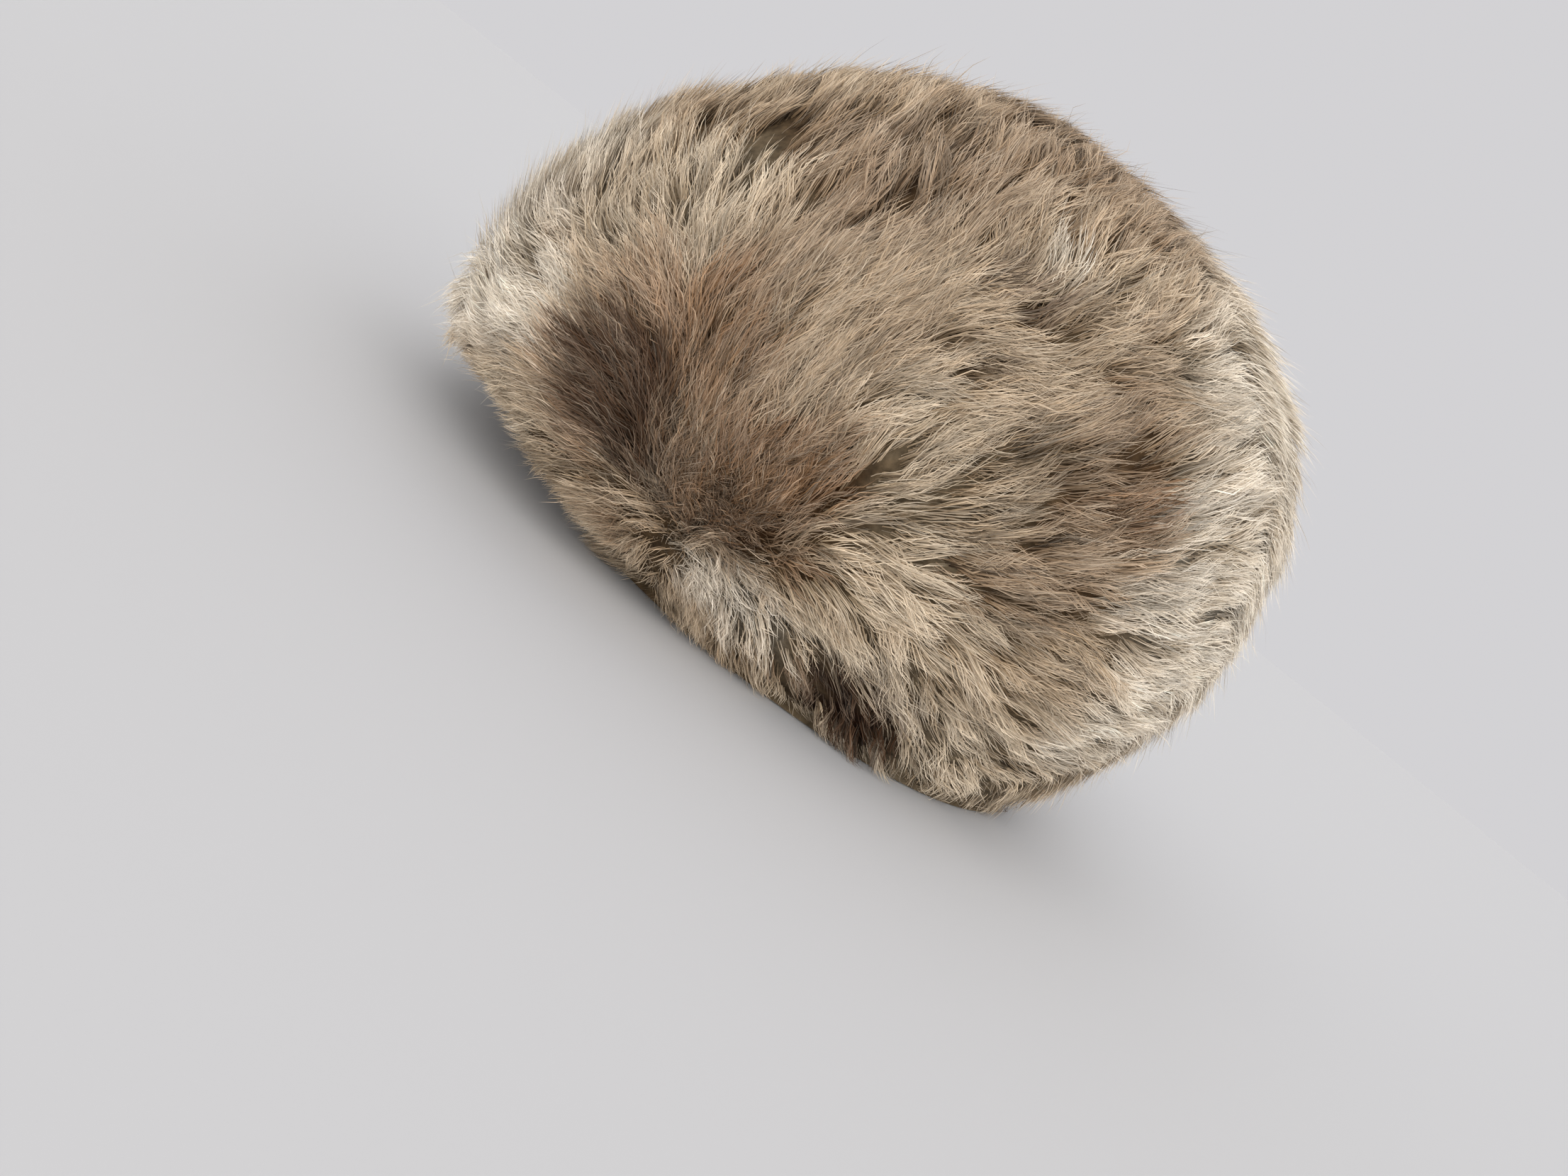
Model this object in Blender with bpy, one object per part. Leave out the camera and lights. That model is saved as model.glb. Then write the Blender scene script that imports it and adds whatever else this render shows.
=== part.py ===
"""Sheepskin telpek hat: two side panels, a centre strip over the crown and a turned fur hem.

Metres, +Z up. The rim lies on Z = 0, the front of the hat looks towards -X and the wearer's
left side is at -Y. Each piece is a hollow pelt wall whose outer face is built up of tiers of
locks, because the fur is as thick as the wall that carries it.
"""
import math

import bmesh
import bpy
from mathutils import Vector

# Driving sizes of the dome
HAT_LENGTH = 0.299
HAT_WIDTH = 0.270
HAT_HEIGHT = 0.205
PELT_WALL = 0.025
LOCK_RISE = 0.0065

# Driving sizes of the head opening and of the hem round it
OPENING_LENGTH = 0.210
OPENING_WIDTH = 0.170
OPENING_SETBACK = 0.0655
HEM_HEIGHT = 0.028
HEM_TOP_WIDTH = 0.244
RIM_LAND = 0.012
RIM_LAND_AT_ENDS = 0.006
BROW_LIFT = 0.008
BROW_LIFT_START = 0.066
BROW_LIFT_RUN = 0.036
HEM_LOCK_RISE = 0.0030

# How the dome's sides swell above the hem, and how full its corners are: 2 is an oval
BULGE_RISE = 0.034
FULLNESS_AT_BROW = 2.10
FULLNESS_AT_NAPE = 2.55
POLE_SETBACK = 0.117

# Clearance between neighbouring pieces and the distance under which points are one
PIECE_GAP = 0.0004
WELD_DISTANCE = 0.00002

# The dome's outline on the centre line, from the brow over the crown to the nape:
# share of HAT_LENGTH from the front, share of the dome's rise over the hem
PROFILE = (
    (0.017, 0.000),
    (0.000, 0.117),
    (0.016, 0.305),
    (0.060, 0.505),
    (0.140, 0.695),
    (0.250, 0.865),
    (0.395, 0.972),
    (0.570, 1.000),
    (0.755, 0.950),
    (0.905, 0.800),
    (0.985, 0.565),
    (1.000, 0.270),
    (0.958, 0.000),
)

# The seam between a side panel and the strip:
# share of the way from brow to nape, share of the way from side to centre line
SEAM = (
    (0.00, 0.62),
    (0.10, 0.46),
    (0.25, 0.40),
    (0.40, 0.40),
    (0.52, 0.46),
    (0.64, 0.60),
    (0.74, 0.78),
    (0.84, 0.80),
    (0.93, 0.70),
    (1.00, 0.60),
)

# Tiers of locks: how many, and how many points carry them
STEPS_ALONG = 36
PANEL_TIERS = 7
STRIP_COLUMNS = 20
HEM_COLUMNS = 72

# One tier of locks, as shares of the way from its roots to the roots of the next
CREST_SHARE = 0.68
TIP_SHARE = 0.32
ROOT_SHARE = 0.13
NOTCH_SHARE = 0.55

# How much the locks differ, and how far that wave turns from one column or row to the next
SWAY_SHARE = 0.35
SWAY_NOTCH_SHARE = 0.30
SWAY_TURN_BY_COLUMN = 2.4
SWAY_TURN_BY_ROW = 1.7

# Half the step, as a share of the way from side to centre, that measures the dome at a seam
SEAM_PROBE_SHARE = 0.005

# The hem's outside from its foot to the dome: share of its height, share of the way out to
# the dome's edge, share of the lock rise it is sunk by, share of its height the tips hang down
HEM_OUTSIDE = (
    (0.16, 0.16, 0.0, 0.00),
    (0.36, 0.44, 0.0, 0.10),
    (0.46, 0.52, 1.0, 0.04),
    (0.74, 0.86, 0.0, 0.06),
    (0.84, 0.92, 1.0, 0.02),
)

PROFILE_SAMPLES = 24
DOME_RISE = HAT_HEIGHT - HEM_HEIGHT
FRONT_X = -HAT_LENGTH / 2
POLE_X = FRONT_X + POLE_SETBACK
OPENING_X = FRONT_X + OPENING_SETBACK + OPENING_LENGTH / 2
HOLLOW_CENTRE = Vector((0.0, 0.0, HEM_HEIGHT))

FUR_COLOURS = {
    "left_side_panel": (0.40, 0.29, 0.20, 1.0),
    "right_side_panel": (0.36, 0.26, 0.18, 1.0),
    "centre_strip": (0.56, 0.46, 0.36, 1.0),
    "rim_hem": (0.62, 0.52, 0.40, 1.0),
}


def clear_scene():
    for old in list(bpy.data.objects):
        bpy.data.objects.remove(old, do_unlink=True)


def fur_material(name):
    material = bpy.data.materials.new(name + "_fur")
    material.use_nodes = True
    shader = material.node_tree.nodes["Principled BSDF"]
    shader.inputs["Base Color"].default_value = FUR_COLOURS[name]
    shader.inputs["Roughness"].default_value = 0.85
    shader.inputs["Metallic"].default_value = 0.0
    return material


def smooth_between(p0, p1, p2, p3, t):
    """A point of the smooth curve that runs from p1 to p2."""
    return 0.5 * (2 * p1 + (p2 - p0) * t + (2 * p0 - 5 * p1 + 4 * p2 - p3) * t ** 2
                  + (3 * p1 - p0 - 3 * p2 + p3) * t ** 3)


def profile_curve():
    """The centre line outline as (share of its own length, X, height over the hem)."""
    points = [Vector((FRONT_X + a * HAT_LENGTH, b * DOME_RISE)) for a, b in PROFILE]
    points = [2 * points[0] - points[1]] + points + [2 * points[-1] - points[-2]]
    line = []
    for k in range(1, len(points) - 2):
        for step in range(PROFILE_SAMPLES):
            line.append(smooth_between(*points[k - 1:k + 3], step / PROFILE_SAMPLES))
    line.append(points[-2])
    run = [0.0]
    for before, after in zip(line, line[1:]):
        run.append(run[-1] + (after - before).length)
    return [(r / run[-1], p.x, p.y) for r, p in zip(run, line)]


def read_table(table, where):
    """The other values of a table whose first value rises, straight between its rows."""
    where = min(max(where, table[0][0]), table[-1][0])
    for low, high in zip(table, table[1:]):
        if where <= high[0]:
            t = (where - low[0]) / (high[0] - low[0])
            return [a + (b - a) * t for a, b in zip(low[1:], high[1:])]


def read_smoothly(table, where):
    """The second value of a table, along a smooth curve through its rows."""
    last = len(table) - 1
    k = next((i for i in range(last) if where <= table[i + 1][0]), last - 1)
    t = (where - table[k][0]) / (table[k + 1][0] - table[k][0])
    rows = [table[min(max(i, 0), last)][1] for i in (k - 1, k, k + 1, k + 2)]
    return smooth_between(*rows, t)


CURVE = profile_curve()


def swell(height):
    """How wide the dome is at a height over the hem, as a share of its full width."""
    tuck = 1 - HEM_TOP_WIDTH / HAT_WIDTH
    below = max(0.0, 1 - height / BULGE_RISE)
    return 1 - tuck * below ** 2


def dome_point(along, across, depth=0.0):
    """A point of the dome, sunk towards the middle of the hollow.

    along runs from 0 at the brow to 1 at the nape, across from -1 at the left side over 0 on
    the centre line to 1 at the right side.
    """
    x, height = read_table(CURVE, along)
    turn = math.radians(90 * (1 - abs(across)))
    side, middle = math.cos(turn), math.sin(turn)
    fullness = FULLNESS_AT_BROW + (FULLNESS_AT_NAPE - FULLNESS_AT_BROW) * along
    size = (side ** fullness + middle ** fullness) ** (-1 / fullness)
    rise = height * middle * size
    point = Vector((
        POLE_X + (x - POLE_X) * middle * size,
        math.copysign(HAT_WIDTH / 2 * side * size * swell(rise), across),
        HEM_HEIGHT + rise,
    ))
    inward = HOLLOW_CENTRE - point
    return point + inward.normalized() * depth


def seam_across(along, clearance):
    """How far from the side the seam runs, moved by a clearance towards the centre line."""
    share = read_smoothly(SEAM, along)
    near = dome_point(along, share - 1 - SEAM_PROBE_SHARE)
    far = dome_point(along, share - 1 + SEAM_PROBE_SHARE)
    return share + clearance * 2 * SEAM_PROBE_SHARE / (far - near).length


def lock_relief(row, column, first_row, last_row):
    """How far a point of a tier moves along the locks, in tiers, and how deep it lies."""
    if row in (first_row, last_row):
        return 0.0, LOCK_RISE
    tip = 1 if (column + row // 2) % 2 else -1
    sway = SWAY_SHARE * math.sin(SWAY_TURN_BY_COLUMN * column + SWAY_TURN_BY_ROW * row)
    if row % 2:
        reach = CREST_SHARE - 0.5 + TIP_SHARE * (tip + sway) / 2
        return reach, LOCK_RISE * NOTCH_SHARE * (1 - tip) / 2 * (1 - SWAY_NOTCH_SHARE * sway)
    return ROOT_SHARE * (tip + sway) / 2, LOCK_RISE


def slab(name, columns, rows, shape):
    """A closed wall made of a grid and its copy, each point placed by shape(column, row, inside)."""
    mesh = bmesh.new()
    bmesh.ops.create_grid(mesh, x_segments=columns, y_segments=rows, size=0.5)
    outside = bmesh.ops.extrude_face_region(mesh, geom=mesh.faces[:], use_keep_orig=True)
    for item in outside["geom"]:
        if isinstance(item, bmesh.types.BMVert):
            item.co.z = 1.0
    for vertex in mesh.verts:
        column = round((vertex.co.x + 0.5) * columns)
        row = round((vertex.co.y + 0.5) * rows)
        vertex.co = shape(column, row, vertex.co.z < 0.5)
    return finish_piece(name, mesh)


def finish_piece(name, mesh):
    bmesh.ops.remove_doubles(mesh, verts=mesh.verts, dist=WELD_DISTANCE)
    bmesh.ops.triangulate(mesh, faces=mesh.faces[:])
    bmesh.ops.recalc_face_normals(mesh, faces=mesh.faces[:])
    data = bpy.data.meshes.new(name)
    mesh.to_mesh(data)
    mesh.free()
    data.materials.append(fur_material(name))
    piece = bpy.data.objects.new(name, data)
    return piece


def side_panel(name, side):
    """A half-round panel whose locks point away from the middle of its lower edge."""
    rows = 2 * PANEL_TIERS

    def shape(column, row, inside):
        along = column / STEPS_ALONG
        reach, depth = lock_relief(row, column, 0, rows)
        if inside:
            reach, depth = 0.0, PELT_WALL
        if column in (0, STEPS_ALONG):
            reach = 0.0
        share = (row + 2 * reach * (row > 0)) / rows
        across = share * seam_across(along, -PIECE_GAP / 2)
        return dome_point(along, side * (1 - across), depth)

    return slab(name, STEPS_ALONG, rows, shape)


def centre_strip(name):
    """The strip from brow to nape, whose locks point backwards."""

    def shape(column, row, inside):
        reach, depth = lock_relief(row, column, 0, STEPS_ALONG)
        if inside:
            reach, depth = 0.0, PELT_WALL
        elif column in (0, STRIP_COLUMNS):
            reach, depth = 0.0, LOCK_RISE
        along = (row + 2 * reach) / STEPS_ALONG
        edge = 1 - seam_across(along, PIECE_GAP / 2)
        across = edge * (2 * column / STRIP_COLUMNS - 1)
        return dome_point(along, across, depth)

    return slab(name, STRIP_COLUMNS, STEPS_ALONG, shape)


def base_outline():
    """The dome's lower edge seen from above, as (turn about the opening, reach)."""
    outline = []
    for along in (0.0, 1.0):
        for step in range(-2 * HEM_COLUMNS, 2 * HEM_COLUMNS + 1):
            point = dome_point(along, step / (2 * HEM_COLUMNS))
            arm = Vector((point.x - OPENING_X, point.y))
            outline.append((math.atan2(arm.y, arm.x), arm.length))
    outline.sort()
    first, last = outline[0], outline[-1]
    outline.insert(0, (last[0] - 2 * math.pi, last[1]))
    outline.append((first[0] + 2 * math.pi, first[1]))
    return outline


def oval_reach(facing, half_length, half_width):
    """How far an oval reaches from its middle in a direction."""
    return 1 / math.hypot(facing.x / half_length, facing.y / half_width)


def brow_lift(forward):
    """How high the rim is over the floor: it rises a little over the brow."""
    share = min(max((-forward - BROW_LIFT_START) / BROW_LIFT_RUN, 0.0), 1.0)
    return BROW_LIFT * share * share * (3 - 2 * share)


def rim_hem(name):
    """The turned fur edge: a flat ring to rest on, swelling out to meet the dome."""
    outline = base_outline()
    top = HEM_HEIGHT - PIECE_GAP
    rows = len(HEM_OUTSIDE) + 4

    def shape(column, row, inside):
        turn = 2 * math.pi * (column % HEM_COLUMNS) / HEM_COLUMNS - math.pi
        facing = Vector((math.cos(turn), math.sin(turn), 0.0))
        middle = Vector((OPENING_X, 0.0, 0.0))
        opening = oval_reach(facing, OPENING_LENGTH / 2, OPENING_WIDTH / 2)
        land = oval_reach(facing, OPENING_LENGTH / 2 + RIM_LAND_AT_ENDS, OPENING_WIDTH / 2 + RIM_LAND)
        low = Vector((0.0, 0.0, brow_lift(facing.x * opening)))
        reach = read_table(outline, turn)[0]
        edge = middle + facing * reach + Vector((0.0, 0.0, top))
        if row == 0:
            return middle + facing * opening + low
        if row == 1:
            return middle + facing * land + low
        if row == rows - 2:
            return edge
        if row == rows - 1:
            inward = HOLLOW_CENTRE - edge
            inward.z = 0.0
            return edge + inward.normalized() * PELT_WALL
        height, share, sunk, tips = HEM_OUTSIDE[row - 2]
        tip = 1 if (column + row // 2) % 2 else -1
        out = land + (reach - land) * share - HEM_LOCK_RISE * sunk
        height -= tips * tip
        return middle + facing * out + low + Vector((0.0, 0.0, (top - low.z) * height))

    return ring(name, HEM_COLUMNS, rows, shape)


def ring(name, columns, rows, shape):
    """A closed ring made of a grid whose ends and sides are joined."""
    mesh = bmesh.new()
    bmesh.ops.create_grid(mesh, x_segments=columns, y_segments=rows, size=0.5)
    for vertex in mesh.verts:
        column = round((vertex.co.x + 0.5) * columns) % columns
        row = round((vertex.co.y + 0.5) * rows) % rows
        vertex.co = shape(column, row, False)
    return finish_piece(name, mesh)


def centre_on_floor(pieces):
    """Moves the pieces so that the middle of their box in plan is the origin."""
    lengths = [vertex.co.x for piece in pieces for vertex in piece.data.vertices]
    middle = (min(lengths) + max(lengths)) / 2
    for piece in pieces:
        for vertex in piece.data.vertices:
            vertex.co.x -= middle


def main():
    clear_scene()
    pieces = [
        side_panel("left_side_panel", -1),
        side_panel("right_side_panel", 1),
        centre_strip("centre_strip"),
        rim_hem("rim_hem"),
    ]
    centre_on_floor(pieces)
    hat = bpy.data.collections.new("turkmen_telpek_hat")
    bpy.context.scene.collection.children.link(hat)
    for piece in pieces:
        hat.objects.link(piece)


main()
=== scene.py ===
"""A rounded sheepskin telpek hat, covered in long straight fur, on a pale floor.

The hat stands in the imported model's own frame: metres, +Z up, brow towards -X and the
wearer's left side at -Y. The pelts are closed walls, and the fur on them is made of
locks, each a small bundle of tapered hairs that follow the skin.
"""
import math

import bmesh
import bpy
import numpy as np
from mathutils import Matrix, Vector
from mathutils.bvhtree import BVHTree


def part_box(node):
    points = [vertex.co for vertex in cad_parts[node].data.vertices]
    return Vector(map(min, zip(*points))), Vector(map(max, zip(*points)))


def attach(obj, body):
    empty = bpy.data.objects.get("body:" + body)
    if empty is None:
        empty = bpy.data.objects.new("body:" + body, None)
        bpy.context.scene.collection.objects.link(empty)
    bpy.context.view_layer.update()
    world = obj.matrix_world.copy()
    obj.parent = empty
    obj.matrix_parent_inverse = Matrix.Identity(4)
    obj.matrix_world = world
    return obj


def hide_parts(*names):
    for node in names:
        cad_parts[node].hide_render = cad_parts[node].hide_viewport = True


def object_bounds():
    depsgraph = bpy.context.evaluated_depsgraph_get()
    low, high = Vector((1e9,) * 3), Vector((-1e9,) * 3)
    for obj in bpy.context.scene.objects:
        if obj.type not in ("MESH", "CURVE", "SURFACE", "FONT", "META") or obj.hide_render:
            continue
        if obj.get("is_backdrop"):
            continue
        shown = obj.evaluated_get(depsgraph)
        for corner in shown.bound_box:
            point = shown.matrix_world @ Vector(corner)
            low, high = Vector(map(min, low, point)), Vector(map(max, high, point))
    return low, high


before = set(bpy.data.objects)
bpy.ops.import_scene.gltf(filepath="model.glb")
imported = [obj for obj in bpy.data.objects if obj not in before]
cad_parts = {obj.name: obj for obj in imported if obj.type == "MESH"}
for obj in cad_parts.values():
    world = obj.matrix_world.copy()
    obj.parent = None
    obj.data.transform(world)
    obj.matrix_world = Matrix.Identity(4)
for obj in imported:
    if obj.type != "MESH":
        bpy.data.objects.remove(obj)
CAD_LOW, CAD_HIGH = (Vector(corner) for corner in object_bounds())

bl_info = {
    "name": "Telpek Hat",
    "version": (1, 0, 0),
    "blender": (4, 5, 0),
    "location": "View3D > Sidebar > Telpek",
    "description": "Builds a rounded sheepskin hat with long combed fur",
    "category": "Add Mesh",
}

HEM_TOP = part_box("centre_strip")[0].z
BODY = "root"

# The dome's outline on the centre line, from the brow over the crown to the nape:
# share of the hat's length from the front, share of the dome's rise over the hem
PROFILE = (
    (0.017, 0.000),
    (0.000, 0.117),
    (0.016, 0.305),
    (0.060, 0.505),
    (0.140, 0.695),
    (0.250, 0.865),
    (0.395, 0.972),
    (0.570, 1.000),
    (0.755, 0.950),
    (0.905, 0.800),
    (0.985, 0.565),
    (1.000, 0.270),
    (0.958, 0.000),
)

# The seam between a side panel and the strip:
# share of the way from brow to nape, share of the way from side to centre line
SEAM = (
    (0.00, 0.62),
    (0.10, 0.46),
    (0.25, 0.40),
    (0.40, 0.40),
    (0.52, 0.46),
    (0.64, 0.60),
    (0.74, 0.78),
    (0.84, 0.80),
    (0.93, 0.70),
    (1.00, 0.60),
)

# Fur colours as the eye sees them, red green blue out of 255
CREAM = (219, 209, 193)
LIGHT = (183, 166, 142)
BEIGE = (153, 133, 108)
TAUPE = (120, 99, 77)
BROWN = (107, 77, 49)
DARK = (54, 34, 18)
RUST = (138, 108, 80)
HIDE = (196, 170, 138)
TIP = (226, 214, 195)

# Colour patches, the same on both sides, some of them painted shade and some painted light: X and
# Z of the place, distance from the centre line, reach, colour, strength
PATCHES = (
    # paler towards the hem, partly the wool's own colour and partly painted light against the
    # floor's shade, darker over the crown
    (0.030, 0.012, 0.115, 0.030, LIGHT, 0.80),
    (0.065, 0.010, 0.100, 0.026, CREAM, 0.45),
    (0.090, 0.015, 0.090, 0.045, LIGHT, 0.80),
    (-0.010, 0.190, 0.030, 0.050, TAUPE, 0.90),
    (0.015, 0.198, 0.040, 0.035, TAUPE, 0.70),
    (-0.060, 0.150, 0.090, 0.026, TAUPE, 1.00),
    (-0.070, 0.120, 0.110, 0.020, TAUPE, 0.60),
    (-0.035, 0.170, 0.085, 0.020, TAUPE, 0.75),
    # pale upper front and the cream brow, with a small crease of painted shade behind it
    (-0.095, 0.120, 0.090, 0.024, LIGHT, 1.00),
    (-0.115, 0.100, 0.080, 0.022, LIGHT, 0.80),
    (-0.135, 0.095, 0.040, 0.026, CREAM, 0.80),
    (-0.145, 0.060, 0.000, 0.045, CREAM, 0.90),
    (-0.140, 0.055, 0.060, 0.026, CREAM, 1.00),
    (-0.120, 0.055, 0.090, 0.016, CREAM, 0.95),
    (-0.125, 0.072, 0.082, 0.005, BROWN, 0.70),
    # the hem in front of the ears
    (-0.110, 0.015, 0.085, 0.018, LIGHT, 0.85),
    (-0.085, 0.012, 0.105, 0.012, BEIGE, 0.85),
    (-0.065, 0.015, 0.112, 0.010, BROWN, 0.60),
    # dark patch at the temple, with its reddish edge and the brown above it
    (-0.090, 0.080, 0.115, 0.018, BROWN, 0.85),
    (-0.070, 0.084, 0.121, 0.020, BROWN, 0.90),
    (-0.106, 0.050, 0.106, 0.009, RUST, 0.80),
    (-0.088, 0.036, 0.117, 0.010, BROWN, 0.85),
    (-0.083, 0.058, 0.122, 0.020, DARK, 1.00),
    (-0.093, 0.055, 0.117, 0.016, DARK, 0.95),
    (-0.072, 0.048, 0.126, 0.015, DARK, 0.95),
    (-0.060, 0.045, 0.129, 0.013, DARK, 0.75),
    # brown belt above the parting over the ear
    (-0.036, 0.060, 0.132, 0.020, BROWN, 0.95),
    (-0.020, 0.074, 0.131, 0.014, BROWN, 0.90),
    # darker spots at the parting: partly the wool's dark roots, partly painted shade where the
    # pile parts
    (-0.044, 0.062, 0.131, 0.009, DARK, 0.45),
    (-0.034, 0.042, 0.130, 0.012, DARK, 0.55),
    (-0.018, 0.050, 0.133, 0.010, DARK, 0.40),
    (-0.008, 0.044, 0.131, 0.008, BROWN, 0.85),
    # pale middle of the side, lower down partly painted light where the flank gets less light,
    # with a short crease of painted shade
    (-0.003, 0.098, 0.127, 0.020, LIGHT, 0.75),
    (0.012, 0.072, 0.131, 0.018, LIGHT, 0.85),
    (0.030, 0.050, 0.129, 0.022, LIGHT, 0.85),
    (0.003, 0.124, 0.119, 0.005, DARK, 0.70),
    # grey-brown cloud behind it
    (0.055, 0.118, 0.115, 0.022, TAUPE, 0.95),
    (0.062, 0.122, 0.112, 0.012, BROWN, 0.85),
    (0.045, 0.135, 0.112, 0.016, TAUPE, 0.90),
    (0.056, 0.092, 0.122, 0.018, TAUPE, 0.85),
    (0.040, 0.079, 0.127, 0.010, TAUPE, 0.80),
    (0.040, 0.160, 0.100, 0.012, TAUPE, 0.60),
    # cream back
    (0.088, 0.132, 0.102, 0.018, CREAM, 0.80),
    (0.093, 0.103, 0.107, 0.016, CREAM, 0.70),
    (0.120, 0.110, 0.080, 0.034, CREAM, 0.95),
    (0.112, 0.062, 0.092, 0.024, CREAM, 0.90),
    (0.140, 0.090, 0.030, 0.050, CREAM, 0.85),
    (0.080, 0.168, 0.072, 0.030, CREAM, 0.95),
    (0.110, 0.145, 0.040, 0.045, CREAM, 0.90),
    (0.070, 0.190, 0.030, 0.030, CREAM, 0.60),
    # cream wisps and the dark patch on the hem behind the ear
    (-0.022, 0.022, 0.121, 0.012, CREAM, 0.70),
    (-0.006, 0.017, 0.117, 0.013, CREAM, 0.55),
    (0.018, 0.014, 0.112, 0.008, BROWN, 0.80),
    (0.032, 0.015, 0.111, 0.016, DARK, 1.00),
    (0.048, 0.010, 0.103, 0.014, DARK, 1.00),
    # white tuft and a crease of painted shade on the seam
    (-0.002, 0.164, 0.096, 0.012, LIGHT, 0.80),
    (0.000, 0.166, 0.095, 0.008, CREAM, 0.95),
    (-0.006, 0.149, 0.106, 0.008, DARK, 0.85),
    (0.006, 0.147, 0.106, 0.007, DARK, 0.85),
)

# How the pile is combed, the same on both sides: X and Z of the place, distance from the
# centre line, then the way the hairs point: backwards, towards the centre line, up
COMBS = (
    # over the crown, towards the centre line
    (-0.085, 0.165, 0.045, 0.25, 0.85, 0.50),
    (-0.045, 0.175, 0.070, 0.10, 0.80, 0.55),
    (-0.005, 0.195, 0.060, 0.15, 0.90, 0.45),
    (-0.110, 0.110, 0.080, -0.15, 0.75, 0.65),
    (-0.070, 0.140, 0.095, 0.20, 0.55, 0.80),
    (-0.035, 0.155, 0.100, 0.15, 0.60, 0.80),
    (-0.005, 0.160, 0.100, -0.10, 0.60, 0.80),
    (0.005, 0.170, 0.090, 0.20, 0.70, 0.70),
    (0.035, 0.175, 0.085, 0.20, 0.75, 0.65),
    # temple, forwards
    (-0.125, 0.060, 0.085, -0.55, 0.85, 0.10),
    (-0.105, 0.075, 0.105, -0.75, 0.65, 0.05),
    (-0.085, 0.085, 0.115, -0.60, 0.60, 0.55),
    (-0.100, 0.045, 0.110, -0.80, 0.60, 0.05),
    (-0.085, 0.055, 0.120, -0.85, 0.45, 0.20),
    (-0.050, 0.035, 0.125, -0.70, -0.05, 0.65),
    # up over the ear
    (-0.075, 0.095, 0.115, 0.25, 0.25, 0.95),
    (-0.055, 0.115, 0.115, 0.25, 0.30, 0.90),
    (-0.030, 0.130, 0.115, 0.25, 0.40, 0.90),
    (-0.065, 0.070, 0.125, -0.15, 0.25, 0.95),
    (-0.045, 0.090, 0.125, 0.15, 0.20, 0.95),
    (-0.020, 0.110, 0.125, 0.55, 0.20, 0.80),
    (-0.040, 0.055, 0.130, 0.05, 0.00, 1.00),
    (-0.030, 0.070, 0.130, 0.00, 0.15, 0.95),
    (-0.005, 0.090, 0.130, 0.35, 0.20, 0.90),
    (-0.020, 0.055, 0.130, 0.20, 0.00, 1.00),
    # back of the side, backwards and up
    (-0.005, 0.130, 0.115, 0.95, 0.10, 0.35),
    (0.020, 0.150, 0.110, 0.80, 0.35, 0.50),
    (0.045, 0.150, 0.105, 0.75, 0.45, 0.50),
    (0.010, 0.110, 0.125, 0.65, 0.25, 0.70),
    (0.040, 0.130, 0.115, 0.50, 0.45, 0.75),
    (0.075, 0.140, 0.100, 0.55, 0.55, 0.65),
    (0.005, 0.070, 0.130, 0.90, 0.10, 0.40),
    (0.030, 0.090, 0.125, 0.80, 0.20, 0.55),
    (0.060, 0.110, 0.120, 0.60, 0.35, 0.75),
    (0.090, 0.120, 0.105, 0.50, 0.50, 0.70),
    (-0.005, 0.035, 0.130, 1.00, 0.00, 0.00),
    (0.010, 0.055, 0.130, 0.95, 0.05, 0.00),
    (0.040, 0.075, 0.125, 0.95, 0.20, 0.15),
    (0.070, 0.090, 0.120, 0.85, 0.35, 0.40),
    (0.105, 0.090, 0.100, 0.70, 0.50, 0.50),
    # low on the back of the side, backwards
    (0.010, 0.035, 0.125, 0.90, 0.25, -0.25),
    (0.045, 0.055, 0.125, 0.95, 0.25, -0.05),
    (0.080, 0.070, 0.115, 0.95, 0.40, 0.05),
    (0.040, 0.030, 0.115, 0.90, 0.30, -0.15),
    (0.070, 0.035, 0.110, 0.95, 0.40, 0.05),
    (0.100, 0.050, 0.100, 0.80, 0.45, 0.40),
    # hem, from the parting over the ear to both ends
    (-0.025, 0.020, 0.120, 0.80, -0.20, -0.55),
    (-0.010, 0.015, 0.120, 0.75, 0.20, -0.60),
    (0.020, 0.010, 0.110, 0.85, 0.20, -0.40),
    (0.050, 0.010, 0.105, 0.90, 0.35, -0.15),
    (-0.070, 0.020, 0.110, -0.95, 0.20, -0.20),
    (-0.105, 0.020, 0.090, -0.80, 0.30, -0.50),
    (-0.135, 0.025, 0.045, -0.60, 0.20, -0.75),
    # brow, up
    (-0.145, 0.090, 0.020, -0.20, 0.10, 0.95),
)


# Points of a lock's middle line, how far past its length it creeps, and where along a hair
# its cross cuts lie
LOCK_STEPS = 6
CREEP = 1.15
HAIR_LEVELS = (0.0, 0.28, 0.55, 0.80, 1.0)

# How deep a hair's root sits, the lowest place of a hair's middle and of anything else
ROOT_DEPTH = 0.0068
LOWEST_HAIR = 0.0006
FLOOR_GAP = 0.0004

# The parting on the hem lies this much lower than over the ear
PARTING_DROP = 0.020

# Half the gap between two pelts at the seam, as a share of the way from side to side
SEAM_GAP = 0.002

# The far, soft lights: name, where it comes from, strength, spread in degrees, colour
LIGHTS = (
    ("key_light", (-0.62, -0.70, 0.50), 0.95, 70, (1.0, 0.985, 0.96)),
    ("fill_light", (0.10, -0.95, 0.20), 2.4, 90, (1.0, 0.99, 0.97)),
    ("rim_light", (0.15, 0.45, 0.88), 0.35, 60, (1.0, 0.99, 0.98)),
)

# The outside of the hat, which the pelts' operator leaves here for the fur
SURFACE = {}


def linear(colour):
    """A colour out of 255 as the shader's own linear light."""
    parts = [part / 255 for part in colour]
    return tuple(p / 12.92 if p <= 0.04045 else ((p + 0.055) / 1.055) ** 2.4 for p in parts)


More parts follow.
